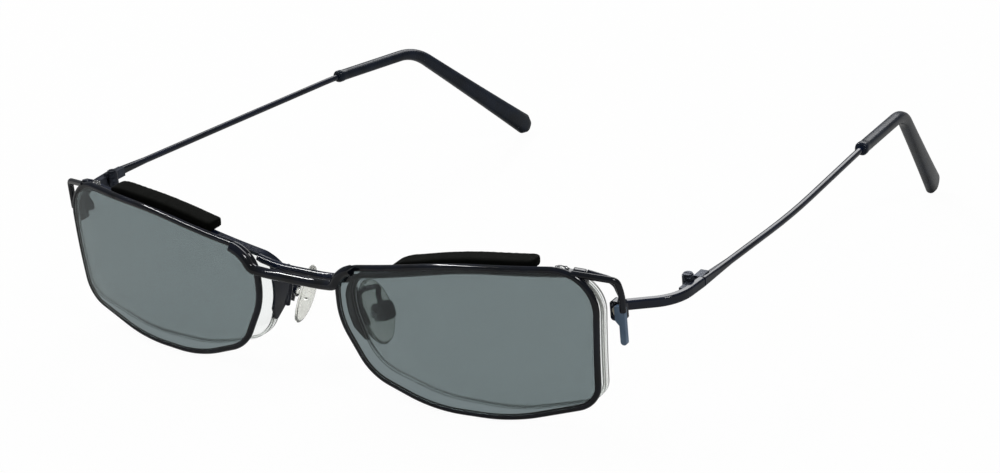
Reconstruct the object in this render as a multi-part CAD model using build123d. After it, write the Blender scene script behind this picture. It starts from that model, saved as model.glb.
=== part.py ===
from build123d import *
import math
import os

# Magnetic clip-on sunglasses on a semi-rimless wire frame.
# Every piece is first placed in the frame of the front: X toward the wearer's left, Y back toward the
# ears, Z up, with zero on the middle line between the clip's lens openings. At the end the whole is
# tilted so that it stands on the clip's rims and on the temple tips, with its origin under its middle.

# Lens opening
lens_width = 48.0
lens_height = 27.3
bridge_gap = 19.5
lens_curve_radius = 150.0
half_width = lens_width / 2
half_height = lens_height / 2
lens_centre = bridge_gap / 2 + half_width
# Distance of the lens opening's temple edge from the middle line
temple_edge = bridge_gap / 2 + lens_width
# Corners of the opening before rounding, from the upper temple corner clockwise as seen from the front,
# as shares of the half width and half height, and the radius of each as a share of the half height
outline_shares = (
    (1.006, 1.033),
    (0.958, -0.681),
    (0.312, -1.0),
    (-0.292, -1.0),
    (-0.788, -0.674),
    (-1.0, 0.015),
    (-1.0, 0.659),
    (-0.042, 0.938),
)
outline_radius_shares = (0.476, 0.33, 2.9, 2.2, 0.66, 0.88, 0.48, 5.8)
# Places in that list of the lower and the middle corner on the nose side
nose_corner_places = (4, 5)
# The clear lens behind it is wider, its top lies lower, most at the nose, and its lower nose corner is fuller
clear_width_margin = 1.0
clear_top_drop = 1.0
clear_nose_corner_shares = (-0.86, -0.72)
clear_temple_corner_shares = (1.0, 1.075)
clear_brow_corner_shares = ((-1.0, 0.5), (-0.042, 0.92))
clear_outline_shares = (
    (clear_temple_corner_shares,)
    + outline_shares[1:4]
    + (clear_nose_corner_shares, outline_shares[5])
    + clear_brow_corner_shares
)
# The longest straight run of a wire that follows the lens curve
run_length = 8.0
# A corner may take at most this share of the run between it and the next one
run_room_share = 0.49
# A cutting body reaches this far past what it cuts
overrun = 6.0
# Half width, half height, centre height and corners of the clip's lens opening and of the clear lens
clip_outline = (half_width, half_height, 0.0, outline_shares)
clear_half_height = half_height - clear_top_drop / 2
clear_half_width = half_width + clear_width_margin
clear_outline = (clear_half_width, clear_half_height, -clear_top_drop / 2, clear_outline_shares)

# Clip: wire rims, tinted lenses, bridge
clip_wrap = 6.9
rim_wire = 1.24
tint_thickness = 0.9
tint_bite = 0.3
seat_clearance = 0.02
clip_bridge_wire = 1.85
clip_bridge_forward = 1.5
clip_bridge_height = 5.9
clip_bridge_sag_width = 5.5
clip_bridge_rise = 0.35
clip_tail_shares = (0.24, 0.5, 0.75, 0.95)
clip_tail_radii = (2.5, 7.0, 7.0, 7.0)
clip_tail_lift = 0.3
clip_bridge_bite = 0.2

# Clip: arms and keeper plates that lie on the magnets
arm_wire = 1.14
arm_leave_share = 0.30
arm_start_spread = 1.0
arm_shoulder_inset = -0.1
arm_shoulder_lead = 0.6
arm_shoulder_drop = 1.55
arm_shoulder_radius = 1.3
arm_knee_drop = 2.6
arm_outset = 0.2
keeper_thickness = 0.8
keeper_width = 1.9
keeper_height = 2.7
keeper_finger_width = 1.15
keeper_finger_length = 4.3
keeper_shoulder = 0.8
keeper_tip_round_share = 0.45
keeper_corner_round_share = 0.2
keeper_outset = 2.75
keeper_spread = temple_edge + keeper_outset
keeper_setback = 8.3
keeper_top = 7.6
arm_seat_length = 0.9
magnet_gap = 0.08

# Main frame: clear lenses, brow strips, cord, bridge
frame_wrap = 2.9
frame_setback = 3.65
clear_thickness = 1.6
groove_width = 0.76
groove_depth = 0.55
tongue_depth = 0.36
fit_clearance = 0.03
cord_diameter = 0.5
strip_thickness = 0.6
plate_front = 2.2
plate_back = 1.8
plate_top = 6.8
plate_shoulder = 3.0
plate_top_inset = 0.2
brow_bar_front = 1.3
brow_bar_back = 0.45
strip_clip_clearance = 0.35
strip_end_share = 0.88
strip_point_share = 0.415
strip_point_length = 2.9
strip_point_front = 1.3
strip_point_back = 2.2
bridge_wire = 1.5
bridge_setback = 2.4
bridge_height = 5.55
bridge_flat_width = 5.6
bridge_rise = 0.2
bridge_end_rise = 1.2
bridge_end_inset = 1.4

# Soft brow pads on the strips
brow_pad_thickness = 1.75
brow_pad_front = 1.15
brow_pad_back = 2.35
# Nose end and temple end of each strip, as shares of the clear lens's half width: both strips are cut alike
# and glued on the same way round, so they sit differently on the two sides
brow_pad_left_shares = (0.64, 0.52)
brow_pad_right_shares = (0.47, 0.55)
brow_pad_end_round = 1.2

# Nose pads, their arms and boxes
pad_height = 12.4
pad_width = 6.6
pad_thickness = 2.3
pad_edge_thickness = 1.1
pad_edge_round = 0.4
pad_spread = 9.0
pad_setback = 10.6
pad_drop = 3.45
pad_splay = 18.5
pad_lean = 20.5
pad_arm_wire = 0.95
pad_arm_root_height = -4.2
pad_arm_leave_height = -0.4
pad_arm_seat_shift = 0.8
pad_arm_loop_rise = 2.7
pad_arm_loop_length = 2.9
pad_arm_radius = 1.5
box_width = 3.5
box_height = 3.4
box_depth = 2.0
box_round = 1.0
box_pocket_width = 1.7
box_pocket_depth = 1.5
box_gap = 0.9
lug_width = 1.3
lug_radius = 0.65
lug_reach = 1.55
pad_screw_diameter = 0.7
pad_screw_head = 1.3
pad_screw_head_height = 0.4
screw_slot_width = 0.22
screw_slot_depth = 0.2
running_clearance = 0.04

# Magnet cases on the frame
case_width = 2.6
case_height = 3.6
case_depth = 1.6
case_round = 0.6
case_outset = 1.75
case_spread = temple_edge + case_outset
case_centre_height = 6.2
magnet_diameter = 2.0
magnet_thickness = 1.1
magnet_outset = 0.1
braze_bite = 0.1

# End pieces that run from the brow strips past the magnet cases to the hinges
end_wire = 1.15
end_bar_height = 1.75
end_bar_thickness = 1.4
end_bar_round = 0.35
hinge_outset = 7.25
hinge_spread = temple_edge + hinge_outset
hinge_setback = 23.4
hinge_height = 5.95
end_bar_outboard = 1.9
end_bar_past_hinge = 1.1
end_bend_inset = 0.5
end_bend_lead = 7.5
end_bend_radius = 10.0
end_start_outset = 0.55
end_start_share = 0.31
end_start_setback = 0.9
end_elbow_inset = 0.4
end_elbow_lead = 1.5
end_elbow_rise = 3.5
end_drop_inset = 0.1
end_wire_radius = 2.5
end_foot_lead = 1.3

# Hinges with three knuckles
knuckle_diameter = 2.1
knuckle_height = 0.95
knuckle_gap = 0.06
leaf_length = 2.7
leaf_height = 1.75
leaf_clearance = 0.2
leaf_inset = 0.35
tab_thickness = 0.85
hinge_screw_diameter = 1.0
hinge_screw_head = 1.7
hinge_screw_head_height = 0.35
hinge_screw_reach = 0.35

# Temples: bar end, thin wire and soft tip
temple_wire = 1.3
temple_gap = 0.25
temple_taper = 10.0
temple_round_share = 0.48
temple_bow_setback = 60.0
temple_bow_outset = 1.3
temple_bow_spread = hinge_spread + temple_bow_outset
temple_bow_height = 3.6
temple_bow_radius = 300.0
tip_start_setback = 96.0
tip_start_inset = 1.4
tip_start_spread = hinge_spread - tip_start_inset
tip_start_height = 2.1
bend_setback = 122.0
bend_inset = 4.1
bend_spread = hinge_spread - bend_inset
bend_height = -0.4
bend_radius = 15.0
tip_end_setback = 155.5
tip_end_inset = 11.5
tip_end_spread = hinge_spread - tip_end_inset
tip_end_height = -30.7
core_length_share = 0.45
sleeve_diameter = 2.4
sleeve_round = 0.5
tip_thickness = 2.6
tip_bend_width = 2.7
tip_middle_width = 3.8
tip_end_width = 5.0
tip_nose_width = 3.1
tip_nose_length = 1.3
tip_round_share = 0.42
tip_middle_share = 0.5
turn_steps = 6


# Lines, tubes and bodies

def fitted_radii(points, radii, closed):
    """Each radius, or the largest that its two runs leave room for."""
    count = len(points)
    inner = range(count) if closed else range(1, count - 1)
    fitted = {}
    for place in inner:
        before = (points[place] - points[place - 1]).length
        after = (points[(place + 1) % count] - points[place]).length
        turn = turn_angle(points, place)
        room = run_room_share * min(before, after)
        fitted[place] = min(radii[place], room / math.tan(turn / 2))
    return fitted


def turn_angle(points, place):
    """Angle in radians through which the route turns at one point."""
    entry = points[place] - points[place - 1]
    leave = points[(place + 1) % len(points)] - points[place]
    return math.radians(entry.get_angle(leave))


def route(points, radii, closed=False):
    """Straight runs joined by tangent arcs, one for each corner, as a list of edges."""
    points = [Vector(*point) for point in points]
    count = len(points)
    fitted = fitted_radii(points, radii, closed)
    edges = []
    last_end = None
    first_start = None
    for place in range(count):
        if place not in fitted:
            if place:
                edges.append(Edge.make_line(last_end, points[place]))
            last_end = points[place]
            continue
        entry = (points[place] - points[place - 1]).normalized()
        leave = (points[(place + 1) % count] - points[place]).normalized()
        tangent_length = fitted[place] * math.tan(turn_angle(points, place) / 2)
        start = points[place] - entry * tangent_length
        end = points[place] + leave * tangent_length
        if last_end is None:
            first_start = start
        else:
            edges.append(Edge.make_line(last_end, start))
        edges.append(Edge.make_tangent_arc(start, entry, end))
        last_end = end
    if closed:
        edges.append(Edge.make_line(last_end, first_start))
    return edges


def tube(edges, diameter):
    """A round wire along the edges."""
    path = Wire(edges)
    section = Plane(origin=path @ 0, z_dir=path % 0) * Circle(diameter / 2)
    return sweep(section, path=path)


def ring_tube(edges, diameter):
    """A round wire along a closed line, made as two halves that meet end to end."""
    middle = len(edges) // 2
    return tube(edges[:middle], diameter) + tube(edges[middle:], diameter)


def mirrored(shape):
    """The same piece on the wearer's right."""
    return shape.mirror(Plane.YZ)


# The lens outline and what follows it. A lens has its own frame: X toward the temple, Y back, Z up.

def outline_corners(outline, spread):
    """Corners of a lens outline, moved outward by spread."""
    wide, high, middle, shares = outline
    corners = [Vector(across * wide, 0, middle + up * high) for across, up in shares]
    moved = []
    for place, corner in enumerate(corners):
        entry = (corner - corners[place - 1]).normalized()
        leave = (corners[(place + 1) % len(corners)] - corner).normalized()
        normal_in = Vector(-entry.Z, 0, entry.X)
        normal_out = Vector(-leave.Z, 0, leave.X)
        moved.append(corner + (normal_in + normal_out) * (spread / (1 + normal_in.dot(normal_out))))
    return moved


def outline_radii(outline, spread):
    """Radius of each corner of a lens outline, moved outward by spread."""
    return [share * outline[1] + spread for share in outline_radius_shares]


def outline_prism(outline, spread):
    """The lens outline as a long straight bar, which the lens curve then cuts."""
    edges = route(outline_corners(outline, spread), outline_radii(outline, spread), closed=True)
    return extrude(Face(Wire(edges)), amount=half_width, dir=(0, 1, 0), both=True)


def curved_layer(front, back):
    """A layer of the ball that the lens is cut from, from front to back of its middle surface."""
    ball = Sphere(lens_curve_radius - front) - Sphere(lens_curve_radius - back)
    return Pos(0, lens_curve_radius, 0) * ball


def on_curve(point):
    """A point of the lens plane moved back on to the middle surface of the lens."""
    flat = point.X * point.X + point.Z * point.Z
    sag = lens_curve_radius - math.sqrt(lens_curve_radius * lens_curve_radius - flat)
    return Vector(point.X, sag, point.Z)


def clear_band(inner, outer, front, back):
    """A band that runs round the clear lens, between two distances from its outline."""
    ring = outline_prism(clear_outline, outer) - outline_prism(clear_outline, inner)
    return ring & curved_layer(front, back)


def curved_ring_route(outline, spread):
    """Closed line round a lens on its middle surface, in short runs bent to the curve."""
    corners = outline_corners(outline, spread)
    fitted = fitted_radii(corners, outline_radii(outline, spread), True)
    points = []
    radii = []
    for place, corner in enumerate(corners):
        turn = turn_angle(corners, place)
        arcs = int(fitted[place] * turn // run_length) + 1
        reach = fitted[place] / math.cos(turn / arcs / 2)
        centre, outward, entry = corner_centre(corners, place, fitted[place])
        for step in range(arcs):
            angle = turn * (step + 1 / 2) / arcs
            flat = outward * math.cos(angle) + entry * math.sin(angle)
            points.append(on_curve(centre + flat * reach))
            radii.append(fitted[place])
        next_place = (place + 1) % len(corners)
        leave_room = fitted[place] * math.tan(turn / 2)
        entry_room = fitted[next_place] * math.tan(turn_angle(corners, next_place) / 2)
        direction = (corners[next_place] - corner).normalized()
        straight = (corners[next_place] - corner).length - leave_room - entry_room
        extra = int(straight // run_length)
        for step in range(extra):
            along = leave_room + straight * (step + 1) / (extra + 1)
            points.append(on_curve(corner + direction * along))
            radii.append(lens_curve_radius)
    return route(points, radii, closed=True)


def corner_centre(corners, place, radius):
    """Centre of a rounded corner, the direction out to where it starts, and its first direction."""
    entry = (corners[place] - corners[place - 1]).normalized()
    leave = (corners[(place + 1) % len(corners)] - corners[place]).normalized()
    half_turn = turn_angle(corners, place) / 2
    centre = corners[place] + (leave - entry).normalized() * (radius / math.cos(half_turn))
    return centre, Vector(-entry.Z, 0, entry.X), entry


def corner_point(outline, place, share, spread):
    """Point at a share of the way round one corner of the curved outline, moved outward by spread."""
    corners = outline_corners(outline, spread)
    radius = fitted_radii(corners, outline_radii(outline, spread), True)[place]
    centre, outward, entry = corner_centre(corners, place, radius)
    angle = turn_angle(corners, place) * share
    flat = outward * math.cos(angle) + entry * math.sin(angle)
    return on_curve(centre + flat * radius)


def at_clip_lens(shape):
    """From the lens's own frame to the clip's lens on the wearer's left."""
    return Pos(lens_centre, 0, 0) * Rot(0, 0, clip_wrap) * shape


def at_frame_lens(shape):
    """From the lens's own frame to the frame's lens on the wearer's left."""
    return Pos(lens_centre, frame_setback, 0) * Rot(0, 0, frame_wrap) * shape


def clip_point(point):
    """A point of the lens's own frame, in the frame of the front, for the clip."""
    return at_clip_lens(Vertex(point.X, point.Y, point.Z)).center()


def frame_point(point):
    """A point of the lens's own frame, in the frame of the front, for the main frame."""
    return at_frame_lens(Vertex(point.X, point.Y, point.Z)).center()


# The clip

def make_tinted_lens():
    """Thin tinted lens whose edge lies in the groove of its wire rim."""
    half = tint_thickness / 2
    return at_clip_lens(outline_prism(clip_outline, tint_bite) & curved_layer(-half, half))


def make_clip_rim():
    """Closed round wire with a groove for the lens edge."""
    wire = ring_tube(curved_ring_route(clip_outline, rim_wire / 2), rim_wire)
    half = tint_thickness / 2 + seat_clearance
    seat = outline_prism(clip_outline, tint_bite + seat_clearance) & curved_layer(-half, half)
    return at_clip_lens(wire - seat)


def make_clip_bridge(rim):
    """Thick wire between the rims, whose ends lie on the front of their upper nose corners."""
    place = len(outline_shares) - 2
    spread = rim_wire / 2 + clip_tail_lift
    touch = (rim_wire + clip_bridge_wire) / 2 - clip_bridge_bite
    ahead = Vector(0, math.sqrt(touch * touch - clip_tail_lift * clip_tail_lift), 0)
    half = [Vector(clip_bridge_sag_width, -clip_bridge_forward, clip_bridge_height + clip_bridge_rise)]
    radii = [lens_width]
    for share, radius in zip(clip_tail_shares, clip_tail_radii):
        half.append(clip_point(corner_point(clip_outline, place, share, spread) - ahead))
        radii.append(radius)
    points = [Vector(-point.X, point.Y, point.Z) for point in reversed(half)] + half
    edges = route(points, list(reversed(radii)) + radii)
    return tube(edges, clip_bridge_wire) - rim - mirrored(rim)


def keeper_outline():
    """Corners of the flag-shaped keeper plate, seen from the front."""
    outer = keeper_spread + keeper_width / 2
    inner = keeper_spread - keeper_width / 2
    finger = outer - keeper_finger_width
    low = keeper_top - keeper_height
    return [
        (outer, keeper_top),
        (outer, low - keeper_finger_length),
        (finger, low - keeper_finger_length),
        (finger, low - keeper_shoulder),
        (inner, low),
        (inner, keeper_top),
    ]


def make_clip_arm(rim):
    """Wire that leaves the rim's upper temple corner and turns down to its keeper plate."""
    start = clip_point(corner_point(clip_outline, 0, arm_leave_share, arm_start_spread))
    foot_x = keeper_spread + keeper_width / 2 - arm_wire / 2 + arm_outset
    foot_y = keeper_setback + (keeper_thickness - arm_wire) / 2
    foot = Vector(foot_x, foot_y, keeper_top - arm_seat_length)
    shoulder = Vector(
        keeper_spread - arm_shoulder_inset,
        keeper_setback - arm_shoulder_lead,
        start.Z - arm_shoulder_drop,
    )
    knee = Vector(foot_x, foot_y, shoulder.Z - arm_knee_drop)
    radii = [0, arm_shoulder_radius, lens_height, 0]
    arm = tube(route([start, shoulder, knee, foot], radii), arm_wire) - rim
    return arm.solids().sort_by(SortBy.VOLUME)[-1]


def make_keeper(arm):
    """Flat steel plate that the magnet holds, with a finger to lift the clip by."""
    corners = [(x, keeper_setback - keeper_thickness / 2, z) for x, z in keeper_outline()]
    plate = extrude(Face(Wire.make_polygon(corners)), amount=keeper_thickness, dir=(0, 1, 0))
    upright = plate.edges().filter_by(Axis.Y)
    finger_ends = upright.sort_by(Axis.Z)[:2]
    plate = fillet(finger_ends, radius=keeper_finger_width * keeper_tip_round_share)
    rest = plate.edges().filter_by(Axis.Y).filter_by(GeomType.LINE).sort_by(Axis.Z)[-2:]
    plate = fillet(rest, radius=keeper_finger_width * keeper_corner_round_share)
    return plate - arm


# The frame's front

def strip_low():
    """Height of the strip's lower end on the nose side."""
    return clear_outline[2] - strip_point_share * clear_outline[1]


def strip_region(low, margin):
    """The part of the clear lens's outline above a height and short of the strip's temple end."""
    temple = strip_end_share * clear_outline[0] + margin
    box = Box(temple + lens_width, lens_width, lens_height - low, align=(Align.MAX, Align.CENTER, Align.MIN))
    return Pos(temple, 0, low) * box


def plate_profile():
    """Side view of the plate on the nose side: a shoulder at the top and a point at its lower end."""
    low = strip_low()
    centre = on_curve(Vector(-clear_outline[0], 0, low)).Y
    corners = [
        (-brow_bar_front + plate_top_inset, plate_top),
        (-plate_front, plate_shoulder),
        (-plate_front, low + strip_point_length),
        (-plate_front + strip_point_front, low),
        (plate_back - strip_point_back, low),
        (plate_back, low + strip_point_length),
        (plate_back, plate_shoulder),
        (brow_bar_back - plate_top_inset, plate_top),
    ]
    face = Face(Wire.make_polygon([(0, centre + back, up) for back, up in corners]))
    return extrude(face, amount=lens_width, dir=(-1, 0, 0))


def make_brow_strip():
    """Plate down the nose side and bar over the brow, with a tongue in the lens groove."""
    tongue_half = groove_width / 2 - fit_clearance
    overlap = fit_clearance + seat_clearance
    tongue = clear_band(-tongue_depth, overlap, -tongue_half, tongue_half)
    bar = clear_band(fit_clearance, strip_thickness, -brow_bar_front, brow_bar_back)
    plate = clear_band(fit_clearance, strip_thickness, -lens_height, lens_height)
    strip = (bar + tongue) & strip_region(plate_shoulder, 0)
    strip = strip + ((plate + tongue) & plate_profile())
    clip_back = rim_wire / 2 + strip_clip_clearance
    return at_frame_lens(strip) - at_clip_lens(curved_layer(-lens_height, clip_back))


def cord_route():
    """Closed line of the cord's middle in the lens groove."""
    return curved_ring_route(clear_outline, cord_diameter / 2 + 2 * fit_clearance - groove_depth)


def make_clear_lens():
    """Clear lens with a groove round its edge for the strip's tongue and the cord."""
    half = clear_thickness / 2
    lens = outline_prism(clear_outline, 0) & curved_layer(-half, half)
    groove = clear_band(-groove_depth, overrun, -groove_width / 2, groove_width / 2)
    return at_frame_lens(lens - groove)


def make_lens_cord():
    """Nylon cord in the lens groove, from the temple end of the strip round to its point."""
    ring = ring_tube(cord_route(), cord_diameter)
    return at_frame_lens(ring - strip_region(strip_low() - seat_clearance, seat_clearance))


def make_brow_pad(nose_share, temple_share):
    """Soft black strip glued on top of the brow bar, with rounded ends."""
    wide = clear_outline[0]
    inner = strip_thickness + fit_clearance
    band = clear_band(inner, inner + brow_pad_thickness, -brow_pad_front, brow_pad_back)
    nose = -nose_share * wide
    temple = temple_share * wide
    window = Box(temple - nose, lens_width, lens_height, align=(Align.MIN, Align.CENTER, Align.MIN))
    pad = band & Pos(nose, 0, 0) * window
    ends = [edge for edge in pad.edges() if abs(edge.length - brow_pad_thickness) < fit_clearance]
    pad = at_frame_lens(fillet(ends, radius=brow_pad_end_round))
    clip_back = rim_wire / 2 + strip_clip_clearance
    return pad - at_clip_lens(curved_layer(-lens_height, clip_back))


def make_frame_bridge(strip):
    """Wire bridge between the two brow strips."""
    end_x = bridge_gap / 2 + bridge_end_inset
    half = [
        (bridge_flat_width, bridge_setback, bridge_height + bridge_rise),
        (end_x, bridge_setback + bridge_rise, bridge_height + bridge_end_rise),
    ]
    points = [(-x, y, z) for x, y, z in reversed(half)] + half
    edges = route(points, [lens_width] * len(points))
    room = at_frame_lens(outline_prism(clear_outline, fit_clearance))
    bar = tube(edges, bridge_wire) - strip - mirrored(strip) - room - mirrored(room)
    return bar.solids().sort_by(SortBy.VOLUME)[-1]


# Magnet cases

def case_front():
    """Setback of the case's front face, just behind the keeper plate."""
    return keeper_setback + keeper_thickness / 2 + magnet_gap


def make_magnet_case():
    """Small rounded case with a pocket for the magnet in its front face."""
    block = Box(case_width, case_depth, case_height, align=(Align.CENTER, Align.MIN, Align.CENTER))
    upright = block.edges().filter_by(Axis.Y)
    block = fillet(upright, radius=case_round)
    pocket = magnet_cylinder(magnet_diameter + 2 * fit_clearance, magnet_thickness + fit_clearance)
    block = Pos(case_spread, case_front(), case_centre_height) * block
    return block - pocket


def magnet_cylinder(diameter, length):
    """A round plug in the case, flush with its front face."""
    plug = Cylinder(diameter / 2, length, align=(Align.CENTER, Align.CENTER, Align.MIN))
    turned = Rot(-90, 0, 0) * plug
    return Pos(case_spread + magnet_outset, case_front(), case_centre_height) * turned


def make_magnet():
    """Round magnet in the case's pocket."""
    return magnet_cylinder(magnet_diameter, magnet_thickness)


# End pieces and hinges

def bar_section(origin, direction, height, thickness, rounding):
    """Rounded rectangle that stands on its short side, square to a direction."""
    plane = Plane(origin=origin, x_dir=Vector(0, 0, 1), z_dir=direction)
    return plane * RectangleRounded(height, thickness, rounding)


def make_end_piece(strip, case):
    """Round wire from the brow strip down behind the magnet case, and the bar from there to the hinge."""
    start = corner_point(clear_outline, 0, end_start_share, end_start_outset)
    start = frame_point(start + Vector(0, end_start_setback, 0))
    behind = case_front() + case_depth + end_wire / 2 - braze_bite
    elbow = Vector(
        case_spread - end_elbow_inset,
        behind - end_elbow_lead,
        case_centre_height + case_height / 2 + end_elbow_rise,
    )
    drop = Vector(case_spread - end_drop_inset, behind, case_centre_height + case_height / 2)
    seat = Vector(case_spread - end_drop_inset, behind, hinge_height)
    foot = seat + Vector(0, end_foot_lead, 0)
    wire_points = [start, elbow, drop, seat, foot]
    wire = tube(route(wire_points, [end_wire_radius] * len(wire_points)), end_wire)
    end_x = hinge_spread + end_bar_outboard
    end_y = hinge_setback + end_bar_past_hinge
    bar_points = [
        foot,
        Vector(end_x - end_bend_inset, end_y - end_bend_lead, hinge_height),
        Vector(end_x, end_y, hinge_height),
    ]
    path = Wire(route(bar_points, [0, end_bend_radius, 0]))
    section = bar_section(path @ 0, path % 0, end_bar_height, end_bar_thickness, end_bar_round)
    bar = sweep(section, path=path)
    end_piece = wire + bar - strip - case
    return end_piece.solids().sort_by(SortBy.VOLUME)[-1]


def knuckle(level, hole):
    """One knuckle of the hinge at a level counted from the middle one, with its screw hole."""
    step = knuckle_height + knuckle_gap
    barrel = Cylinder(knuckle_diameter / 2, knuckle_height) - Cylinder(hole / 2, knuckle_height)
    return Pos(0, 0, level * step) * barrel


def knuckle_tab(level, side, hole):
    """Short web from a knuckle to its leaf, toward the front for side -1 and the back for side 1."""
    step = knuckle_height + knuckle_gap
    reach = knuckle_diameter / 2 + leaf_clearance
    web = Box(tab_thickness, reach, knuckle_height, align=(Align.MIN, Align.MIN, Align.CENTER))
    if side < 0:
        web = mirror(web, about=Plane.XZ)
    web = Pos(knuckle_diameter / 2 - tab_thickness, 0, level * step) * web
    return web - Pos(0, 0, level * step) * Cylinder(hole / 2, knuckle_height)


def hinge_leaf(side, carrier):
    """Plate of a hinge half on the inner side of the bar or the temple that carries it."""
    gap = knuckle_diameter / 2 + leaf_clearance
    thickness = end_bar_outboard - leaf_inset
    plate = Box(thickness, leaf_length, leaf_height, align=(Align.MIN, Align.MIN, Align.CENTER))
    plate = Pos(leaf_inset, gap, 0) * plate
    if side < 0:
        plate = mirror(plate, about=Plane.XZ)
    plate = at_hinge(plate) - carrier
    return plate.solids().sort_by(Axis.X)[0]


def at_hinge(shape):
    """From the hinge's own frame to its place on the wearer's left."""
    return Pos(hinge_spread, hinge_setback, hinge_height) * shape


def make_front_hinge(end_piece):
    """Front half of the hinge: a leaf on the end piece with an upper and a lower knuckle."""
    hole = hinge_screw_diameter + 2 * fit_clearance
    half = hinge_leaf(-1, end_piece)
    for level in (-1, 1):
        half = half + at_hinge(knuckle(level, hole) + knuckle_tab(level, -1, hole))
    return half


def make_temple_hinge(temple):
    """Rear half of the hinge: a leaf on the temple with the middle knuckle."""
    hole = hinge_screw_diameter + 2 * running_clearance
    return hinge_leaf(1, temple) + at_hinge(knuckle(0, hole) + knuckle_tab(0, 1, hole))


def slotted_screw(diameter, length, head, head_height, slot_width):
    """Screw along Z with its slotted head above zero and its shank below."""
    shank = Cylinder(diameter / 2, length, align=(Align.CENTER, Align.CENTER, Align.MAX))
    cap = Cylinder(head / 2, head_height, align=(Align.CENTER, Align.CENTER, Align.MIN))
    slot = Box(head + overrun, slot_width, screw_slot_depth, align=(Align.CENTER, Align.CENTER, Align.MAX))
    return shank + cap - Pos(0, 0, head_height) * slot


def make_hinge_screw():
    """Screw that holds the three knuckles together."""
    height = 3 * knuckle_height + 2 * knuckle_gap
    length = height + hinge_screw_reach
    screw = slotted_screw(
        hinge_screw_diameter,
        length,
        hinge_screw_head,
        hinge_screw_head_height,
        screw_slot_width,
    )
    return at_hinge(Pos(0, 0, height / 2) * screw)


# Temples

def temple_points():
    """Corners of the temple's line from its front end to the end of its tip."""
    front_y = hinge_setback + end_bar_past_hinge + temple_gap
    return [
        Vector(hinge_spread + end_bar_outboard, front_y, hinge_height),
        Vector(temple_bow_spread, temple_bow_setback, temple_bow_height),
        Vector(tip_start_spread, tip_start_setback, tip_start_height),
        Vector(bend_spread, bend_setback, bend_height),
        Vector(tip_end_spread, tip_end_setback, tip_end_height),
    ]


def core_points():
    """The temple wire's corners, from the end of its taper to where it stops inside the tip."""
    front, bow, start, bend, end = temple_points()
    taper_end = front + (bow - front).normalized() * temple_taper
    return [taper_end, bow, start, bend, bend + (end - bend) * core_length_share]


def core_tube(diameter):
    """The wire of the temple, or a bore for it."""
    points = core_points()
    radii = [0, temple_bow_radius, temple_bow_radius / 2, bend_radius, 0]
    return tube(route(points, radii), diameter)


def make_temple():
    """Flat bar end that tapers to a round wire, which runs on inside the tip."""
    front, bow = temple_points()[:2]
    direction = (bow - front).normalized()
    taper_end = front + direction * temple_taper
    thick = bar_section(front, direction, end_bar_height, end_bar_thickness, end_bar_round)
    rounding = temple_wire * temple_round_share
    thin = bar_section(taper_end, direction, temple_wire, temple_wire, rounding)
    taper = loft([thick, thin])
    return taper + core_tube(temple_wire)


def tip_section(point, direction, across, width, thickness):
    """Rounded rectangle across the tip."""
    plane = Plane(origin=point, x_dir=across, z_dir=direction)
    return plane * RectangleRounded(thickness, width, min(width, thickness) * tip_round_share)


def make_temple_tip():
    """Soft sleeve over the wire's end: round at its start, flat and wide behind the ear."""
    start, bend, end = temple_points()[2:]
    across = (bend - start).cross(end - bend).normalized()
    edges = route([start, bend, end], [0, bend_radius, 0])
    run, turn, blade = edges
    mouth_size = sleeve_diameter - sleeve_round
    nose_start = 1 - tip_nose_length / blade.length
    places = [(run, 0, mouth_size, mouth_size)]
    places.append((run, sleeve_round / run.length, sleeve_diameter, sleeve_diameter))
    for step in range(turn_steps + 1):
        places.append((turn, step / turn_steps, tip_bend_width, tip_thickness))
    places.append((blade, tip_middle_share, tip_middle_width, tip_thickness))
    places.append((blade, nose_start, tip_end_width, tip_thickness))
    places.append((blade, 1, tip_nose_width, tip_thickness - sleeve_round))
    sections = []
    for edge, place, width, thickness in places:
        sections.append(tip_section(edge @ place, edge % place, across, width, thickness))
    return loft(sections, ruled=True) - core_tube(temple_wire + 2 * fit_clearance)


# Nose pads

def at_pad(shape):
    """From the pad's own frame, X toward the lens and Z along the pad, to its place."""
    place = Pos(pad_spread, pad_setback, -pad_drop) * Rot(0, 0, -pad_splay) * Rot(0, -pad_lean, 0)
    return place * shape


def pad_point(out, along, up):
    """A point of the pad's own frame, in the frame of the front."""
    return at_pad(Vertex(out, along, up)).center()


def make_nose_pad():
    """Clear oval pad, domed toward the nose, with a drilled lug on its back."""
    oval = Plane.YZ * Ellipse(pad_width / 2, pad_height / 2)
    body = extrude(oval, amount=-pad_thickness)
    dome_rise = pad_thickness - pad_edge_thickness
    dome_radius = (pad_height * pad_height / 4 + dome_rise * dome_rise) / (2 * dome_rise)
    body = body & Pos(dome_radius - pad_thickness, 0, 0) * Sphere(dome_radius)
    body = fillet(body.edges(), radius=pad_edge_round)
    outward = (Align.MIN, Align.CENTER, Align.CENTER)
    neck = Box(lug_reach + pad_edge_round, lug_width, 2 * lug_radius, align=outward)
    eye = Rot(90, 0, 0) * Cylinder(lug_radius, lug_width)
    lug = Pos(-pad_edge_round, 0, 0) * neck + Pos(lug_reach, 0, 0) * eye
    hole = Rot(90, 0, 0) * Cylinder(pad_screw_diameter / 2 + running_clearance, box_width)
    return at_pad(body + lug - Pos(lug_reach, 0, 0) * hole)


def make_pad_box():
    """Small rounded box whose two cheeks hold the pad's lug."""
    outward = (Align.MIN, Align.CENTER, Align.CENTER)
    block = Box(box_depth, box_width, box_height, align=outward)
    block = fillet(block.edges().filter_by(Axis.X), radius=box_round)
    pocket = Box(box_pocket_depth, box_pocket_width, box_height, align=outward)
    hole = Rot(90, 0, 0) * Cylinder(pad_screw_diameter / 2 + fit_clearance, box_width)
    body = Pos(box_gap, 0, 0) * (block - pocket)
    return at_pad(body - Pos(lug_reach, 0, 0) * hole)


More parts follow.
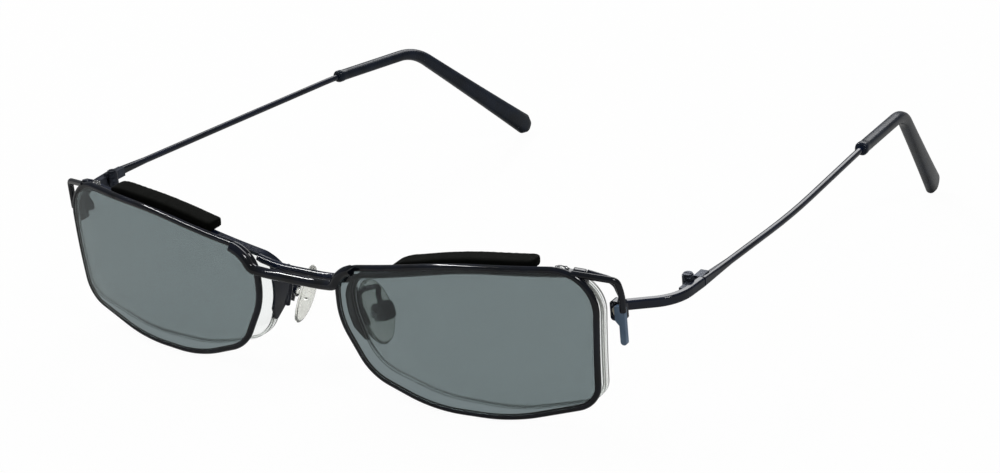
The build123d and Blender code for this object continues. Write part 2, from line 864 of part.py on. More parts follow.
def make_pad_screw():
    """Screw across the box, with its head on the front cheek."""
    screw = slotted_screw(
        pad_screw_diameter,
        box_width,
        pad_screw_head,
        pad_screw_head_height,
        screw_slot_width,
    )
    lying = Rot(90, 0, 0) * screw
    return at_pad(Pos(lug_reach, -box_width / 2, 0) * lying)


def plate_back_point(height):
    """Point just behind the plate's back edge, where the pad arm's wire runs up along it."""
    low, high = [outline_corners(clear_outline, strip_thickness / 2)[place] for place in nose_corner_places]
    share = (height - low.Z) / (high.Z - low.Z)
    across = low.X + (high.X - low.X) * min(share, 1)
    back = plate_back + pad_arm_wire / 2 - braze_bite
    middle = on_curve(Vector(-clear_outline[0], 0, strip_low())).Y
    return frame_point(Vector(across, middle + back, height))


def make_pad_arm(strip, box):
    """Bent wire brazed up the back edge of the plate, then over and down to the pad's box."""
    root = plate_back_point(pad_arm_root_height)
    leave = plate_back_point(pad_arm_leave_height)
    loop = leave + Vector(0, 0, pad_arm_loop_rise)
    out = box_gap + box_depth
    above = pad_point(out + pad_arm_wire / 2, -pad_arm_seat_shift, box_height)
    over = Vector(above.X, loop.Y + pad_arm_loop_length, loop.Z)
    end = pad_point(out - braze_bite, -pad_arm_seat_shift, pad_arm_wire / 2)
    points = [root, leave, loop, over, above, end]
    wire = tube(route(points, [pad_arm_radius] * len(points)), pad_arm_wire)
    arm = wire - strip - box
    return arm.solids().sort_by(SortBy.VOLUME)[-1]


# Putting the pieces together

def make_left_pieces():
    """Every piece of the wearer's left half, by name, in the frame of the front."""
    rim = make_clip_rim()
    arm = make_clip_arm(rim)
    strip = make_brow_strip()
    case = make_magnet_case()
    end_piece = make_end_piece(strip, case)
    temple = make_temple()
    box = make_pad_box()
    return {
        "clip_rim": rim,
        "clip_tinted_lens": make_tinted_lens(),
        "clip_arm": arm,
        "clip_keeper": make_keeper(arm),
        "clear_lens": make_clear_lens(),
        "brow_strip": strip,
        "lens_cord": make_lens_cord(),
        "brow_pad": make_brow_pad(*brow_pad_left_shares),
        "magnet_case": case,
        "magnet": make_magnet(),
        "end_piece": end_piece,
        "front_hinge": make_front_hinge(end_piece),
        "hinge_screw": make_hinge_screw(),
        "temple": temple,
        "temple_hinge": make_temple_hinge(temple),
        "temple_tip": make_temple_tip(),
        "pad_box": box,
        "pad_arm": make_pad_arm(strip, box),
        "pad_screw": make_pad_screw(),
        "nose_pad": make_nose_pad(),
    }


def make_all_pieces():
    """Both halves and the two bridges, by name, in the frame of the front."""
    pieces = {}
    for name, shape in make_left_pieces().items():
        pieces["left_" + name] = shape
        pieces["right_" + name] = mirrored(shape)
    pieces["right_brow_pad"] = mirrored(make_brow_pad(*brow_pad_right_shares))
    pieces["clip_bridge"] = make_clip_bridge(pieces["left_clip_rim"])
    pieces["frame_bridge"] = make_frame_bridge(pieces["left_brow_strip"])
    return pieces


def rest_tilt():
    """Angle by which the front leans so that the clip's rims and the temple tips stand level."""
    rim_low = -half_height - rim_wire
    rim_y = (clip_bridge_wire - rim_wire) / 2
    tip_low = tip_end_height - tip_nose_width / 2
    return math.degrees(math.atan2(rim_low - tip_low, tip_end_setback - rim_y))


def standing_place(pieces):
    """Tilt and shift that stand the glasses on a level surface, with zero under their middle."""
    tilt = Rot(rest_tilt(), 0, 0)
    boxes = [(tilt * shape).bounding_box() for shape in pieces.values()]
    front = min(box.min.Y for box in boxes)
    back = max(box.max.Y for box in boxes)
    low = min(box.min.Z for box in boxes)
    return Pos(0, -(front + back) / 2, -low) * tilt


def report_places(place):
    """Print the joint points that the record repeats, in the finished frame."""
    marks = {
        "hinge": Vector(hinge_spread, hinge_setback, hinge_height),
        "hinge_up": Vector(hinge_spread, hinge_setback, hinge_height + lens_width),
        "pad_pivot": pad_point(lug_reach, 0, 0),
        "pad_pivot_back": pad_point(lug_reach, lens_width, 0),
        "clip": Vector(0, 0, 0),
    }
    for name, mark in marks.items():
        moved = (place * Vertex(mark.X, mark.Y, mark.Z)).center()
        print(name, round(moved.X, 3), round(moved.Y, 3), round(moved.Z, 3))


def main():
    os.makedirs("parts", exist_ok=True)
    pieces = make_all_pieces()
    place = standing_place(pieces)
    for name, shape in pieces.items():
        export_step(place * shape, f"parts/{name}.step")
    print("tilt", round(rest_tilt(), 3), "shift", place.position)
    report_places(place)


if __name__ == "__main__":
    main()
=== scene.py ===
# %% [markdown]
# # Wire glasses with a magnetic sunglass clip
# The object is a slim steel frame with clear lenses, and in front of it a second, lighter frame with two
# grey tinted lenses, held by small magnets. The hard parts already exist as exact solids. This notebook
# loads them, gives every one the finish of the real part, and models the soft parts afresh:
# the brow pads, the nose pads and the sleeves behind the ears.
# Everything is in metres, so one named factor turns millimetres into scene units.

# %% Load the frame
import math

import bmesh
import bpy
from mathutils import Matrix, Vector, noise
from mathutils.kdtree import KDTree


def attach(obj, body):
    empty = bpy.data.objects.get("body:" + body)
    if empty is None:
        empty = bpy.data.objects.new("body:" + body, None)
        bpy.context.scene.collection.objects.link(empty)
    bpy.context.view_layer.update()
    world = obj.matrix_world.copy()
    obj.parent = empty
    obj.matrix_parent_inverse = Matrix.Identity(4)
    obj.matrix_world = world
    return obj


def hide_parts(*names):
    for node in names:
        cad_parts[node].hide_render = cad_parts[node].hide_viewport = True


MM = 0.001
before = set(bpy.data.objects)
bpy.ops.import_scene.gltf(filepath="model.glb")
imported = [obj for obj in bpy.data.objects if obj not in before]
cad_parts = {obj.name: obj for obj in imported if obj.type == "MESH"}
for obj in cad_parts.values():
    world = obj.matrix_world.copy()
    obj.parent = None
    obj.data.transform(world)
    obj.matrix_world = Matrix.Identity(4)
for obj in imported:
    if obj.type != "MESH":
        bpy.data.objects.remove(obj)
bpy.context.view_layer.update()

# %% [markdown]
# ## Where the front of the glasses stands
# The glasses rest on the rims' lower edge and on the ear tips, so the whole front leans back by a few
# degrees. The soft parts are modelled in the front's own upright frame, where a size can be read off
# directly, and one matrix then carries them to where the glasses stand. They are modelled on the
# wearer's left, and each side has a matrix that mirrors them or leaves them as they are.

# %% The lean and the place of the front
front_lean = math.radians(6.383)
front_place = Vector((0.0, -77.406, 14.744)) * MM
stand = Matrix.Translation(front_place) @ Matrix.Rotation(front_lean, 4, "X")
sides = {side: Matrix.Diagonal((sign, 1, 1, 1)) for side, sign in (("left", 1), ("right", -1))}
print("front leans by", round(math.degrees(front_lean), 3), "degrees")

# %% [markdown]
# ## Camera
# The photograph looks down at the glasses from the front and a little from their left. A long lens of
# about 80 mm at 45 cm keeps the far temple nearly as thick as the near one. The camera also rolls by a
# few degrees, so it gets a full matrix of right, up and back directions, not a target to look at.

# %% Camera
sensor_width_mm = 36.0
focal_length_mm = 80.096
nearest_seen, farthest_seen = 0.01, 20.0
camera_data = bpy.data.cameras.new("camera")
camera_data.sensor_fit = "HORIZONTAL"
camera_data.sensor_width = sensor_width_mm
camera_data.lens = focal_length_mm
camera_data.clip_start, camera_data.clip_end = nearest_seen, farthest_seen
camera = bpy.data.objects.new("camera", camera_data)
bpy.context.scene.collection.objects.link(camera)
camera_right = Vector((0.83807, 0.54469, -0.03071))
camera_up = Vector((-0.14835, 0.28172, 0.94796))
camera_back = Vector((0.52500, -0.78991, 0.31691))
camera_place = Vector((0.23427, -0.36643, 0.15058))
turn = Matrix((camera_right, camera_up, camera_back)).transposed().to_4x4()
camera.matrix_world = Matrix.Translation(camera_place) @ turn
bpy.context.scene.camera = camera
print("camera at", [round(value, 3) for value in camera_place])

# %% [markdown]
# ## Helpers for materials
# A material is a small graph of nodes. Colours are written as the hex values that a picture shows, and
# one function turns them to the linear values that the renderer counts with. A second function adds a
# node together with its settings and its links, so that each material below reads like a short recipe.
# Two more make the noise and the relief that all the finishes share, sized in real millimetres.

# %% Colour and node helpers
def linear(hex_colour):
    """Linear red, green, blue and alpha of an sRGB hex colour."""
    channels = [int(hex_colour[i:i + 2], 16) / 255 for i in (1, 3, 5)]
    return tuple(
        channel / 12.92 if channel <= 0.04045 else ((channel + 0.055) / 1.055) ** 2.4
        for channel in channels
    ) + (1.0,)


def add_node(tree, kind, values=None, links=None, **settings):
    """A new node of that kind, with its settings, its plain values and its links from other outputs."""
    node = tree.nodes.new(kind)
    for name, value in settings.items():
        setattr(node, name, value)
    for name, value in (values or {}).items():
        node.inputs[name].default_value = value
    for name, source in (links or {}).items():
        tree.links.new(source, node.inputs[name])
    return node


def start_material(name):
    """An empty material and its node tree."""
    material = bpy.data.materials.new(name)
    material.use_nodes = True
    material.node_tree.nodes.clear()
    return material, material.node_tree


def noise_pattern(tree, size_mm, detail):
    """A noise whose lumps are size_mm wide, fixed to the object."""
    place = add_node(tree, "ShaderNodeTexCoord").outputs["Object"]
    values = {"Scale": 1 / (size_mm * MM), "Detail": detail}
    return add_node(tree, "ShaderNodeTexNoise", values, {"Vector": place}).outputs["Fac"]


def raised(tree, heights, depth_um):
    """The normals of a surface that those heights raise by up to depth_um."""
    values = {"Strength": 1.0, "Distance": depth_um * MM * MM}
    return add_node(tree, "ShaderNodeBump", values, {"Height": heights}).outputs["Normal"]


# %% [markdown]
# ## A solid finish
# No real surface has one flat tone. The colour drifts between two close shades over a few millimetres,
# and a fine grain changes the roughness and raises the surface by microns.

# %% Solid finish
drift_mm = 4.0
ramp_span = (0.35, 0.65)


def surface_detail(tree, colours, roughness, grain_mm, depth_um):
    """Sockets of colour, roughness and normal for a surface whose tone and sheen drift."""
    drift = noise_pattern(tree, drift_mm, 3.0)
    grain = noise_pattern(tree, grain_mm, 2.0)
    colour = add_node(tree, "ShaderNodeValToRGB", links={"Fac": drift})
    low, high = colour.color_ramp.elements
    low.position, high.position = ramp_span
    low.color, high.color = linear(colours[0]), linear(colours[1])
    reach = {"From Min": ramp_span[0], "From Max": ramp_span[1]}
    reach.update({"To Min": roughness[0], "To Max": roughness[1]})
    sheen = add_node(tree, "ShaderNodeMapRange", reach, {"Value": grain})
    return {
        "Base Color": colour.outputs["Color"],
        "Roughness": sheen.outputs["Result"],
        "Normal": raised(tree, grain, depth_um),
    }


def finish(name, colours, roughness, grain_mm, depth_um, **values):
    """A solid finish: a Principled surface with drifting tone and a fine grain."""
    material, tree = start_material(name)
    detail = surface_detail(tree, colours, roughness, grain_mm, depth_um)
    plain = {key.replace("_", " "): value for key, value in values.items()}
    shader = add_node(tree, "ShaderNodeBsdfPrincipled", plain, detail)
    add_node(tree, "ShaderNodeOutputMaterial", links={"Surface": shader.outputs["BSDF"]})
    print("finish:", name)
    return material


# %% [markdown]
# ## Baked enamel on steel wire
# Rims, bridges and temples are stainless steel wire with a thin dark navy enamel, sprayed on and baked.
# The eye sees an almost black blue with crisp highlights, and a slight ripple, as on car paint.
# The ripple of the real coat is about a third of a millimetre wide and a fraction of a micron deep.
# The clip's coat is a touch blacker than the frame's. Its keeper plates carry the same enamel, but their
# colour is lifted
# to a light slate blue: a painted sheen that stands in for the light their flat faces mirror.

# %% Enamel finishes
frame_enamel = finish(
    "navy_baked_enamel", ("#0a0f1c", "#121a2e"), (0.08, 0.16), 0.35, 0.5,
    IOR=1.5,
)
rim_enamel = finish(
    "midnight_baked_enamel", ("#06090f", "#0c1220"), (0.06, 0.12), 0.35, 0.5,
    IOR=1.5,
)
# Painted sheen: the keeper plates' navy enamel is drawn as a light slate blue for the light their flat
# faces mirror
keeper_painted_sheen_enamel = finish(
    "enamel_with_painted_sheen", ("#68809b", "#768da7"), (0.28, 0.40), 0.35, 0.8,
    IOR=1.5,
)

# %% [markdown]
# ## Bare metal
# The magnets are nickel plated, the pads' screws are turned stainless steel, and the hinge barrels and
# their screws are stainless steel too, dulled by the enamel's overspray. Metals get their look from
# colour and roughness alone: a turned screw has fine rings a few hundredths of a millimetre apart, too
# fine to show here, so they are drawn as a grain of a tenth of a millimetre.

# %% Metal finishes
magnet_plating = finish(
    "nickel_plating", ("#b4b0a6", "#c6c2b8"), (0.18, 0.28), 0.2, 0.5, Metallic=1.0,
)
screw_steel = finish(
    "turned_stainless_steel", ("#8f9196", "#a3a5a9"), (0.24, 0.36), 0.1, 1.0, Metallic=1.0,
)
hinge_steel = finish(
    "oversprayed_hinge_steel", ("#2b2f38", "#484d58"), (0.30, 0.50), 0.18, 8.0, Metallic=0.7,
)

# %% [markdown]
# ## Rubber, sleeve plastic, silicone and nylon
# The brow pads are matt black moulded rubber with a fine eroded grain, whose pits swallow most of what
# it would mirror. The ear sleeves are injection moulded plastic, satin black with a blue cast, and
# mirror more than the rubber but less than the enamel. The nose pads are clear silicone, slightly milky
# and a little wavy, because silicone keeps the mould's polish only in part. The lens cords are clear
# nylon.

# %% Rubber and plastic finishes
brow_rubber = finish(
    "matt_moulded_rubber", ("#060705", "#0b0c0a"), (0.62, 0.78), 0.16, 5.0,
    IOR=1.52, Specular_IOR_Level=0.05,
)
sleeve_plastic = finish(
    "satin_moulded_sleeve_plastic", ("#111822", "#1a2332"), (0.22, 0.32), 0.25, 1.0,
    IOR=1.49, Specular_IOR_Level=0.3,
)

# %% Clear silicone and nylon
def clear_finish(name, colour, roughness, ior, ripple_mm, ripple_um, transmission):
    """A see-through finish with a faint ripple of its surface."""
    material, tree = start_material(name)
    normal = raised(tree, noise_pattern(tree, ripple_mm, 2.0), ripple_um)
    values = {"Base Color": linear(colour), "Roughness": roughness, "IOR": ior}
    values["Transmission Weight"] = transmission
    shader = add_node(tree, "ShaderNodeBsdfPrincipled", values, {"Normal": normal})
    add_node(tree, "ShaderNodeOutputMaterial", links={"Surface": shader.outputs["BSDF"]})
    print("finish:", name)
    return material


pad_silicone = clear_finish("clear_moulded_silicone", "#e9eae4", 0.06, 1.41, 1.3, 110.0, 0.92)
cord_nylon = clear_finish("clear_nylon_cord", "#f4f5f3", 0.12, 1.53, 0.6, 10.0, 0.95)

# %% [markdown]
# ## Lenses
# Both lens pairs are clear plastic sheets of about a millimetre. The faces are polished, and the edge is
# ground, so it scatters light and looks white. The two looks are mixed by the surface's own direction:
# a face points forward or back, the ground edge points sideways. The clip's lenses are dyed grey with a
# green cast and let about a sixth of the light through.

# %% Lens finishes
edge_turn, face_turn = 0.72, 0.80
grit_mm, grit_um = 0.12, 8.0


def lens_finish(name, face_colour, edge_colour):
    """Polished see-through faces and a ground edge, told apart by the way the surface faces."""
    material, tree = start_material(name)
    facing = add_node(tree, "ShaderNodeTexCoord").outputs["Normal"]
    along = add_node(tree, "ShaderNodeSeparateXYZ", links={"Vector": facing})
    depth = add_node(tree, "ShaderNodeMath", operation="ABSOLUTE", links={"Value": along.outputs["Y"]})
    edge_share = add_node(
        tree, "ShaderNodeMapRange",
        {"From Min": edge_turn, "From Max": face_turn, "To Min": 1.0, "To Max": 0.0},
        {"Value": depth.outputs["Value"]},
    )
    face = add_node(
        tree, "ShaderNodeBsdfPrincipled",
        {"Base Color": linear(face_colour), "Roughness": 0.0, "IOR": 1.5, "Transmission Weight": 1.0},
    )
    normal = raised(tree, noise_pattern(tree, grit_mm, 2.0), grit_um)
    edge = add_node(
        tree, "ShaderNodeBsdfPrincipled",
        {"Base Color": linear(edge_colour), "Roughness": 0.5, "IOR": 1.5, "Transmission Weight": 0.5},
        {"Normal": normal},
    )
    both = add_node(tree, "ShaderNodeMixShader", links={"Fac": edge_share.outputs["Result"]})
    tree.links.new(face.outputs["BSDF"], both.inputs[1])
    tree.links.new(edge.outputs["BSDF"], both.inputs[2])
    add_node(tree, "ShaderNodeOutputMaterial", links={"Surface": both.outputs["Shader"]})
    print("finish:", name)
    return material


tinted_plastic = lens_finish("polished_grey_tinted_plastic", "#747f81", "#3c4444")
clear_plastic = lens_finish("polished_clear_lens_plastic", "#f7f9f8", "#eef0ea")

# %% [markdown]
# ## Giving the solids their finishes
# Every solid that is kept gets its finish by name. A left and a right part share one, so the table has
# one line for each kind of part.

# %% Finish of each solid
solid_finishes = {
    "clip_rim": rim_enamel, "clip_arm": rim_enamel, "clip_bridge": rim_enamel,
    "clip_keeper": keeper_painted_sheen_enamel, "clip_tinted_lens": tinted_plastic,
    "clear_lens": clear_plastic, "lens_cord": cord_nylon,
    "brow_strip": frame_enamel, "frame_bridge": frame_enamel, "end_piece": frame_enamel,
    "magnet_case": frame_enamel, "magnet": magnet_plating,
    "pad_box": frame_enamel, "pad_arm": frame_enamel, "pad_screw": screw_steel,
    "front_hinge": hinge_steel, "temple_hinge": hinge_steel, "hinge_screw": hinge_steel,
    "temple": frame_enamel,
}
dressed = 0
for name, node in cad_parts.items():
    kind = name.removeprefix("left_").removeprefix("right_")
    if kind in solid_finishes:
        node.data.materials.clear()
        node.data.materials.append(solid_finishes[kind])
        dressed += 1
print("solids with a finish:", dressed)

# %% [markdown]
# ## Turning a shape into a piece
# Each soft part is shaped as a bmesh and then becomes an object at the origin. It rides on the body that
# carries it, stands for the plain solid that held its room, and is smooth shaded.

# %% Piece helpers
merge_gap = 0.0001 * MM


def make_piece(name, shape, material, body, stands_for=None):
    """An object from a finished bmesh, riding on a body and replacing the solid that it stands for."""
    bmesh.ops.remove_doubles(shape, verts=shape.verts, dist=merge_gap)
    bmesh.ops.recalc_face_normals(shape, faces=shape.faces)
    mesh = bpy.data.meshes.new(name)
    shape.to_mesh(mesh)
    shape.free()
    mesh.polygons.foreach_set("use_smooth", [True] * len(mesh.polygons))
    mesh.materials.append(material)
    piece = bpy.data.objects.new(name, mesh)
    bpy.context.scene.collection.objects.link(piece)
    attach(piece, body)
    if stands_for:
        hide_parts(stands_for)
    print(name, "faces:", len(mesh.polygons))


def round_edges(shape, edges, radius_mm, steps):
    """Rounds those edges of a shape."""
    bmesh.ops.bevel(
        shape, geom=edges, offset=radius_mm * MM, segments=steps, profile=0.5,
        affect="EDGES", material=-1,
    )


# %% [markdown]
# ## Brow pads
# A strip of soft black rubber is glued on top of each brow bar and keeps the clip from rattling. It has
# no sharp edge anywhere. Both strips are cut alike, blunt at one end and tapered at the other, and glued
# on the same way round. The plain solid has the right room but crisp edges, so a copy of it is voxel
# remeshed into an even skin, its one end is sunk to a taper, and a few rounds of smoothing melt its
# edges as moulded rubber has them.

# %% Brow pads
weld_gap = 0.001 * MM
voxel_mm = 0.13
taper_mm, taper_floor = 4.5, 0.25
smoothing_rounds = 40


def taper_end(skin):
    """Sinks the top of the pad's lower-X end towards its underside along a quarter ellipse."""
    start = min(vert.co.x for vert in skin.verts)
    length = taper_mm * MM
    near = [vert for vert in skin.verts if vert.co.x < start + length]
    flat = KDTree(len(near))
    for index, vert in enumerate(near):
        flat.insert((vert.co.x, vert.co.y, 0.0), index)
    flat.balance()
    heights = [vert.co.z for vert in near]
    for index, vert in enumerate(near):
        below = flat.find_range((vert.co.x, vert.co.y, 0.0), 2 * voxel_mm * MM)
        low = min(heights[found] for _, found, _ in below)
        share = (vert.co.x - start) / length
        keep = math.sqrt(max(0.0, 1 - (1 - share) ** 2))
        vert.co.z = low + (heights[index] - low) * (taper_floor + (1 - taper_floor) * keep)


def even_skin(name):
    """A remeshed and smoothed copy of a solid, as a bmesh."""
    skin = bmesh.new()
    skin.from_mesh(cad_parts[name].data)
    bmesh.ops.remove_doubles(skin, verts=skin.verts, dist=weld_gap)
    mesh = bpy.data.meshes.new("skin")
    skin.to_mesh(mesh)
    skin.free()
    holder = bpy.data.objects.new("skin", mesh)
    bpy.context.scene.collection.objects.link(holder)
    remesh = holder.modifiers.new("skin", "REMESH")
    remesh.mode = "VOXEL"
    remesh.voxel_size = voxel_mm * MM
    evaluated = holder.evaluated_get(bpy.context.evaluated_depsgraph_get())
    even = bpy.data.meshes.new_from_object(evaluated)
    skin = bmesh.new()
    skin.from_mesh(even)
    taper_end(skin)
    for _ in range(smoothing_rounds):
        bmesh.ops.smooth_vert(
            skin, verts=skin.verts, factor=0.5, use_axis_x=True, use_axis_y=True, use_axis_z=True
        )
    bpy.data.objects.remove(holder)
    bpy.data.meshes.remove(mesh)
    bpy.data.meshes.remove(even)
    return skin


for side in sides:
    skin = even_skin(side + "_brow_pad")
    make_piece(side + "_brow_pad_rubber", skin, brow_rubber, "front", side + "_brow_pad")

# %% [markdown]
# ## Nose pads
# Each pad is an oval of clear silicone, domed towards the nose, with a small lug on its back that sits
# between the cheeks of the pad box. The oval is half a profile spun about the pad's axis and then
# stretched to its height, which gives clean poles, and a subdivision surface rounds it. The lug is a
# rounded block that a Boolean joins to it, so that light passes through one skin.

# %% Sizes and place of the nose pads
# Half a section of the oval: depth in millimetres and share of the half height
pad_profile = [
    (-0.25, 0.0), (-0.22, 0.3), (-0.12, 0.62), (0.0, 0.84), (-0.12, 0.95), (-0.55, 1.0),
    (-0.95, 0.98), (-1.4, 0.86), (-1.8, 0.68), (-2.08, 0.46), (-2.24, 0.24), (-2.3, 0.0),
]
pad_steps, pad_levels = 32, 2
pad_width, pad_height = 6.6, 12.4
lug_length, lug_width, lug_height, lug_root = 2.7, 1.25, 1.3, 0.6
lug_rounding, lug_steps = 0.3, 4
pad_splay, pad_tilt = math.radians(-18.5), math.radians(-20.5)
pad_place = (
    Matrix.Translation(Vector((9.0, 10.6, -3.45)) * MM)
    @ Matrix.Rotation(pad_splay, 4, "Z")
    @ Matrix.Rotation(pad_tilt, 4, "Y")
)
print("nose pad:", pad_width, "x", pad_height, "mm")

# %% Nose pads
def nose_pad_shape():
    """The spun and stretched oval, without its lug."""
    pad = bmesh.new()
    points = [pad.verts.new((depth * MM, 0.0, reach)) for depth, reach in pad_profile]
    edges = [pad.edges.new(pair) for pair in zip(points, points[1:])]
    bmesh.ops.spin(
        pad, geom=points + edges, axis=(1, 0, 0), cent=(0, 0, 0), dvec=(0, 0, 0),
        angle=math.tau, steps=pad_steps, use_merge=True,
    )
    bmesh.ops.remove_doubles(pad, verts=pad.verts, dist=weld_gap)
    bmesh.ops.scale(pad, vec=(1, pad_width * MM / 2, pad_height * MM / 2), verts=pad.verts)
    return pad


def lug_shape():
    """The rounded block on the pad's back."""
    lug = bmesh.new()
    bmesh.ops.create_cube(lug, size=1.0)
    bmesh.ops.scale(lug, vec=(lug_length * MM, lug_width * MM, lug_height * MM), verts=lug.verts)
    bmesh.ops.translate(lug, vec=((lug_length / 2 - lug_root) * MM, 0, 0), verts=lug.verts)
    round_edges(lug, lug.edges[:], lug_rounding, lug_steps)
    return lug


def joined(name, body_shape, extra_shape):
    """One skin around the rounded body shape and an extra shape that reaches into it."""
    holders = []
    for label, shape in (("_body", body_shape), ("_extra", extra_shape)):
        bmesh.ops.recalc_face_normals(shape, faces=shape.faces)
        mesh = bpy.data.meshes.new(name + label)
        shape.to_mesh(mesh)
        shape.free()
        holder = bpy.data.objects.new(name + label, mesh)
        bpy.context.scene.collection.objects.link(holder)
        holders.append(holder)
    rounding = holders[0].modifiers.new("rounding", "SUBSURF")
    rounding.levels = rounding.render_levels = pad_levels
    union = holders[0].modifiers.new("union", "BOOLEAN")
    union.operation, union.solver, union.object = "UNION", "EXACT", holders[1]
    evaluated = holders[0].evaluated_get(bpy.context.evaluated_depsgraph_get())
    mesh = bpy.data.meshes.new_from_object(evaluated)
    result = bmesh.new()
    result.from_mesh(mesh)
    bpy.data.meshes.remove(mesh)
    for holder in holders:
        bpy.data.objects.remove(holder)
    return result


for side, mirror in sides.items():
    pad = joined(side + "_pad", nose_pad_shape(), lug_shape())
    bmesh.ops.transform(pad, matrix=stand @ mirror @ pad_place, verts=pad.verts)
    make_piece(
        side + "_silicone_pad", pad, pad_silicone, side + "_pad_body", side + "_nose_pad",
    )

# %% [markdown]
# ## Ear sleeves
# A moulded sleeve covers the end of each temple wire. It is round at its mouth, where a small lip holds
# the edge, turns down behind the ear and widens into a flat blade with a clipped end. It is made by
# extruding one rounded ring from station to station along the wire's line: run, bend and blade.

# %% The sleeve's line and its stations
sleeve_start = Vector((63.6, 96.0, 2.1))
sleeve_bend = Vector((60.9, 122.0, -0.4))
sleeve_end = Vector((53.5, 155.5, -30.7))
bend_radius = 15.0
bend_steps = 14
# Distance from the mouth and diameter, round the lip
mouth_sizes = ((0.0, 1.85), (0.15, 2.3), (0.5, 2.6), (1.5, 2.6), (2.0, 2.4), (3.0, 2.4))
run_diameter = 2.4
bend_width = 2.9
blade_thickness = 2.6
# Share of the blade's length and width there
blade_widths = ((0.25, 3.3), (0.5, 3.8), (0.75, 4.4))
blade_end_width = 5.0
clipped_length, clipped_thickness, clipped_width = 1.6, 2.1, 3.0


def sleeve_line():
    """Directions of run and blade, axis and angle of the bend, its two ends and its centre."""
    run = (sleeve_bend - sleeve_start).normalized()
    blade = (sleeve_end - sleeve_bend).normalized()
    axis = run.cross(blade).normalized()
    angle = run.angle(blade)
    reach = bend_radius * math.tan(angle / 2)
    centre = sleeve_bend - run * reach + axis.cross(run) * bend_radius
    return run, blade, axis, angle, sleeve_bend - run * reach, sleeve_bend + blade * reach, centre


def station(point, direction, axis, thickness, width):
    """The matrix that puts a unit ring across the line, with its thickness along the bend's axis."""
    across = direction.cross(axis).normalized()
    turn = Matrix((axis, across, direction)).transposed().to_4x4()
    return Matrix.Translation(point * MM) @ turn @ Matrix.Diagonal((thickness * MM, width * MM, 1, 1))


def sleeve_stations():
    """Every station of the sleeve, from its mouth to its clipped end."""
    run, blade, axis, angle, bend_start, bend_end, centre = sleeve_line()
    stations = [
        station(sleeve_start + run * along, run, axis, size, size) for along, size in mouth_sizes
    ]
    for step in range(bend_steps + 1):
        share = step / bend_steps
        spin = Matrix.Rotation(angle * share, 3, axis)
        point = centre + spin @ (bend_start - centre)
        thickness = run_diameter + (blade_thickness - run_diameter) * share
        width = run_diameter + (bend_width - run_diameter) * share
        stations.append(station(point, spin @ run, axis, thickness, width))
    clipped_share = 1 - clipped_length / (sleeve_end - bend_end).length
    for share, width in (*blade_widths, (clipped_share, blade_end_width)):
        stations.append(station(bend_end.lerp(sleeve_end, share), blade, axis, blade_thickness, width))
    stations.append(station(sleeve_end, blade, axis, clipped_thickness, clipped_width))
    return stations


print("sleeve stations:", len(sleeve_stations()))

# %% Ear sleeves
# The ring is a unit square whose corners are rounded until it is almost a circle
corner_share, corner_steps = 0.42, 5
crisp_angle = math.radians(30)
end_rounding, end_steps = 0.22, 3


def unit_ring():
    """A rounded square of unit width, as a bmesh."""
    ring = bmesh.new()
    bmesh.ops.create_circle(ring, cap_ends=False, segments=4, radius=math.sqrt(0.5))
    upright = Matrix.Rotation(math.pi / 4, 3, "Z")
    bmesh.ops.rotate(ring, cent=(0, 0, 0), matrix=upright, verts=ring.verts)
    bmesh.ops.bevel(
        ring, geom=ring.verts[:], offset=corner_share, segments=corner_steps, profile=0.5,
        affect="VERTICES", material=-1,
    )
    return ring


def sleeve_shape():
    """A rounded ring extruded through the stations and closed at both ends."""
    sleeve = unit_ring()
    stations = sleeve_stations()
    ring = sleeve.edges[:]
    bmesh.ops.transform(sleeve, matrix=stations[0], verts=sleeve.verts)
    first = ring
    for here, there in zip(stations, stations[1:]):
        grown = bmesh.ops.extrude_edge_only(sleeve, edges=ring)["geom"]
        verts = [item for item in grown if isinstance(item, bmesh.types.BMVert)]
        ring = [
            item for item in grown
            if isinstance(item, bmesh.types.BMEdge) and all(v in verts for v in item.verts)
        ]
        bmesh.ops.transform(sleeve, matrix=there @ here.inverted(), verts=verts)
    for loop in (first, ring):
        bmesh.ops.edgeloop_fill(sleeve, edges=loop)
    bmesh.ops.recalc_face_normals(sleeve, faces=sleeve.faces)
    crisp = [
        edge for edge in sleeve.edges
        if len(edge.link_faces) == 2 and edge.calc_face_angle() > crisp_angle
    ]
    round_edges(sleeve, crisp, end_rounding, end_steps)
    return sleeve


for side, mirror in sides.items():
    sleeve = sleeve_shape()
    bmesh.ops.transform(sleeve, matrix=stand @ mirror, verts=sleeve.verts)
    make_piece(
        side + "_ear_sleeve", sleeve, sleeve_plastic, side + "_temple_body", side + "_temple_tip",
    )

# %% [markdown]
# ## Ends of the lens cord
# At the temple end of each brow bar the nylon cord comes up through a hole and its melted end sits on
# top of the bar as a clear, slightly lumpy bead. Next to it the wire of the end piece is brazed on, and
# the braze stands up as a small block. The bead is a squashed sphere whose points are pushed about by a
# fixed noise pattern, and the block is a cube with rounded edges.

# %% Cord beads and braze blocks
bead_half_sizes = (1.25, 0.6, 0.5)
lump_scale, lump_share = 1.7, 0.35
block_sizes = (2.2, 1.3, 1.1)
block_rounding, block_steps = 0.25, 4
bead_place = Vector((51.6, -73.2, 29.35)) * MM
block_place = Vector((54.5, -72.7, 29.0)) * MM
bar_slope = Matrix.Rotation(math.radians(8), 4, "Y") @ Matrix.Rotation(math.radians(20), 4, "Z")


def bead_shape():
    """A squashed, lumpy sphere."""
    bead = bmesh.new()
    bmesh.ops.create_icosphere(bead, subdivisions=3, radius=1.0)
    for vert in bead.verts:
        lump = noise.noise(vert.co * lump_scale, noise_basis="PERLIN_ORIGINAL")
        vert.co *= 1 + lump_share * lump
    bmesh.ops.scale(bead, vec=[size * MM for size in bead_half_sizes], verts=bead.verts)
    return bead


def block_shape():
    """A low block with rounded edges."""
    block = bmesh.new()
    bmesh.ops.create_cube(block, size=1.0)
    bmesh.ops.scale(block, vec=[size * MM for size in block_sizes], verts=block.verts)
    round_edges(block, block.edges[:], block_rounding, block_steps)
    return block


